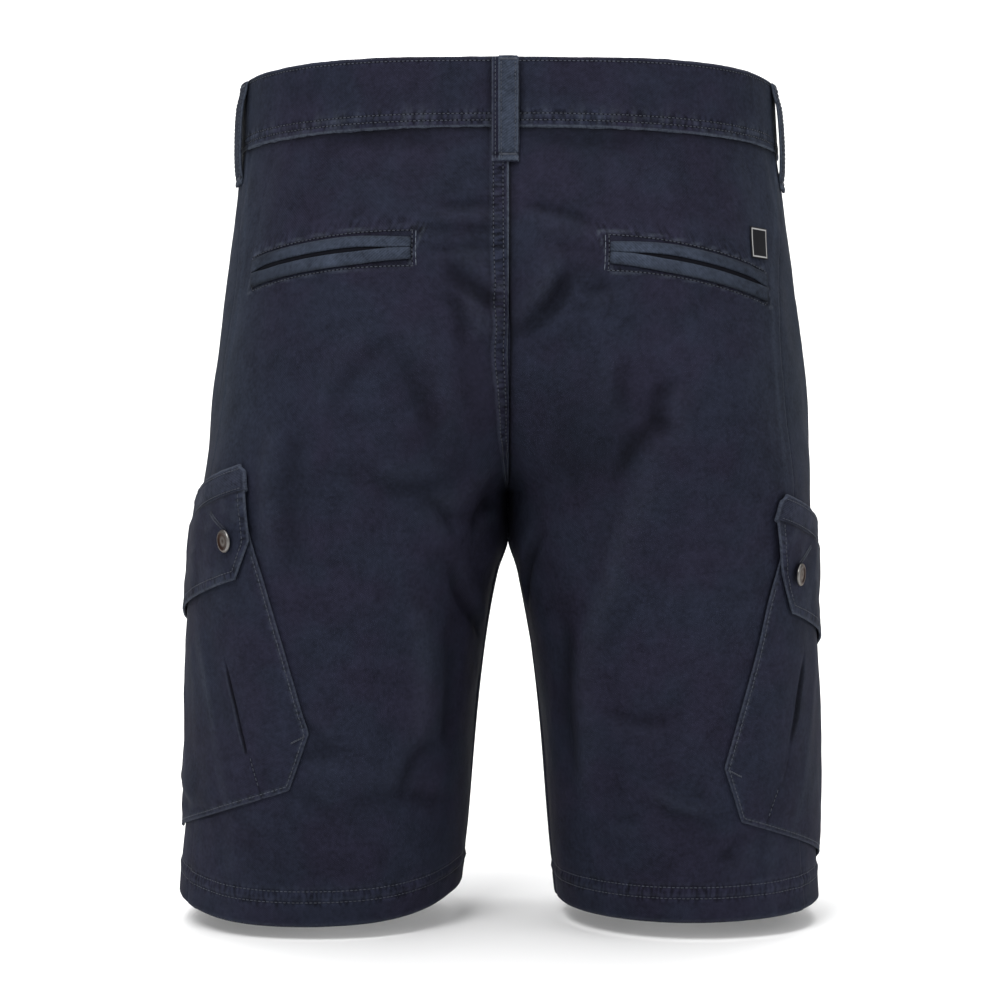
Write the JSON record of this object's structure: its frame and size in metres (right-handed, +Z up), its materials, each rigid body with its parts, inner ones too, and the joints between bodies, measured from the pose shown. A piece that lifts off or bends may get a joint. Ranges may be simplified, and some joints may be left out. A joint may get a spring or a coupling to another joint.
{
  "type": "cargo shorts",
  "caption": "Knee-length cargo shorts in worn hollow form, with belt loops, jetted back pockets and pleated, flapped side pockets.",
  "frame": {"origin": "centre of the waist, at half the waistband's height, where the wearer's waist holds it", "axes": "+Z up, -Y the way the wearer faces, +X the wearer's left"},
  "size_m": [0.3844, 0.2567, 0.4884],
  "materials": {
    "cloth": "garment-dyed navy twill, matt",
    "tape": "lighter coarse twill tape, matt",
    "metal": "dull nickel rim with a copper-brown centre",
    "label": "black woven label, bare"
  },
  "bodies": {
    "root": {"back_left": "cloth", "back_right": "cloth", "front_left": "cloth", "front_right": "cloth", "waistband": "cloth", "fly": "cloth", "loop_back": "cloth", "loop_side_left": "cloth", "loop_side_right": "cloth", "loop_front_left": "cloth", "loop_front_right": "cloth", "loop_back_tape": "tape", "welt_upper_left": "tape", "welt_lower_left": "tape", "welt_upper_right": "tape", "welt_lower_right": "tape", "cargo_pocket_left": "cloth", "cargo_pocket_right": "cloth", "flap_left": "cloth", "flap_right": "cloth", "flap_strip_left": "tape", "flap_strip_right": "tape", "button_left_back": "metal", "button_left_front": "metal", "button_right_back": "metal", "button_right_front": "metal", "button_waist": "metal", "label": "label"}
  },
  "joints": []
}
